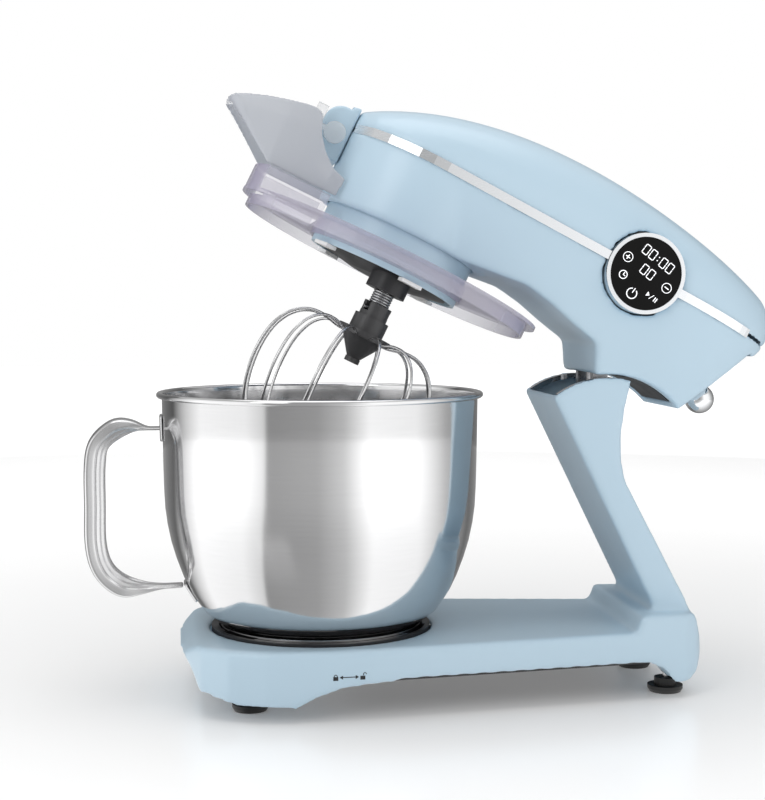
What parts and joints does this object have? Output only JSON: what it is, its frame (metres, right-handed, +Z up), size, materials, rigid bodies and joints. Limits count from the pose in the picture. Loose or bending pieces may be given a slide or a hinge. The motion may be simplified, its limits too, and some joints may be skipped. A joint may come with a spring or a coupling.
{
  "type": "stand mixer",
  "caption": "Tilt-head stand mixer: planetary whisk over a handled steel bowl on a curved cast stand, with clear splash guard, pour chute and round display.",
  "frame": {"origin": "middle of the footprint, on the worktop under the rubber feet", "axes": "+X to the rear of the mixer, -Y the display side, +Z up; head drawn tipped back"},
  "size_m": [0.5083, 0.239, 0.4345],
  "materials": {
    "blue_enamel": "smooth pale blue enamel, soft gloss",
    "steel_polished": "polished stainless sheet",
    "steel": "plain machined steel",
    "chrome_trim": "bright plated",
    "silver_trim": "satin bright band",
    "cast_alloy": "as cast",
    "bronze": "sintered bronze",
    "black_plastic": "fine matt moulding",
    "hub_grey": "dark grey glass-filled moulding",
    "black_rubber": "soft rubber",
    "clear_plastic": "clear with a faint violet edge",
    "smoke_plastic": "grey translucent moulding",
    "display_black": "black printed glass",
    "white_plastic": "white moulding",
    "board_green": "solder resist",
    "copper": "wound copper"
  },
  "bodies": {
    "stand": {"stand_casting": "blue_enamel", "base_cover": "black_plastic", "rubber_feet": "black_rubber", "foot_screws": "steel", "bowl_socket": "black_plastic", "socket_screws": "steel", "hinge_pin": "steel", "pin_bushes": "bronze", "pin_rings": "steel", "latch_block": "black_plastic", "saddle_rails": "chrome_trim"},
    "head": {"upper_shell": "blue_enamel", "lower_shell": "blue_enamel", "trim_strips": "silver_trim", "nose_cap": "blue_enamel", "collar": "blue_enamel", "saddle_liner": "black_plastic", "tilt_frame": "steel", "frame_screws": "steel", "gearbox_housing": "cast_alloy", "ring_gear": "steel", "shaft_bushes": "bronze", "motor_can": "cast_alloy", "motor_bracket": "steel", "drive_belt": "black_rubber", "speed_board": "board_green", "display_body": "blue_enamel", "display_bezel": "silver_trim", "display_glass": "display_black", "display_board": "board_green", "case_screws": "steel", "splash_guard": "clear_plastic", "guard_lugs": "white_plastic", "bolt_spring": "steel"},
    "carrier": {"planet_carrier": "black_plastic", "main_shaft": "steel", "drive_pulley": "black_plastic"},
    "planet": {"spindle": "steel", "planet_gear": "steel", "whisk_pin": "steel", "push_spring": "steel", "whisk_hub": "hub_grey", "whisk_ferrule": "hub_grey", "whisk_cage": "steel"},
    "motor": {"motor_armature": "copper", "motor_shaft": "steel", "motor_pulley": "cast_alloy"},
    "bowl": {"bowl_shell": "steel_polished", "bowl_foot": "steel_polished", "bowl_handle": "steel_polished"},
    "chute": {"chute_bracket": "clear_plastic", "pour_chute": "smoke_plastic"},
    "lever": {"lever_arm": "steel", "lever_knob": "chrome_trim"},
    "lock": {"lock_bolt": "steel"}
  },
  "joints": [
    {"name": "head_tilt", "type": "hinge", "parent": "stand", "child": "head", "pos_m": [0.123, 0, 0.1665], "axis": [0, 1, 0], "range_deg": [-26.1, 0]},
    {"name": "carrier_spin", "type": "hinge", "parent": "head", "child": "carrier", "pos_m": [-0.02876, 0, 0.32269], "axis": [0.4399, 0, 0.898], "continuous": true},
    {"name": "planet_spin", "type": "hinge", "parent": "carrier", "child": "planet", "pos_m": [-0.03601, -0.02971, 0.29841], "axis": [0.4399, 0, 0.898], "continuous": true},
    {"name": "motor_spin", "type": "hinge", "parent": "head", "child": "motor", "pos_m": [0.12794, 0, 0.3016], "axis": [0.4399, 0, 0.898], "continuous": true},
    {"name": "bowl_twist", "type": "hinge", "parent": "stand", "child": "bowl", "pos_m": [-0.082, 0, 0.0495], "axis": [0, 0, 1], "range_deg": [0, 28]},
    {"name": "chute_flip", "type": "hinge", "parent": "head", "child": "chute", "pos_m": [-0.07315, 0, 0.40847], "axis": [0, 1, 0], "range_deg": [0, 30]},
    {"name": "lever_press", "type": "hinge", "parent": "head", "child": "lever", "pos_m": [0.15345, 0, 0.24456], "axis": [0, 1, 0], "range_deg": [-6.5, 0]},
    {"name": "bolt_slide", "type": "slide", "parent": "head", "child": "lock", "axis": [0, 0, 1], "range_m": [-0.0034, 0], "deforming": ["bolt_spring"]}
  ],
  "couplings": [
    {"joint": "planet_spin", "follows": "carrier_spin", "ratio": -2.7143},
    {"joint": "motor_spin", "follows": "carrier_spin", "ratio": 5},
    {"joint": "bolt_slide", "follows": "lever_press", "m_per_rad": 0.028648}
  ]
}
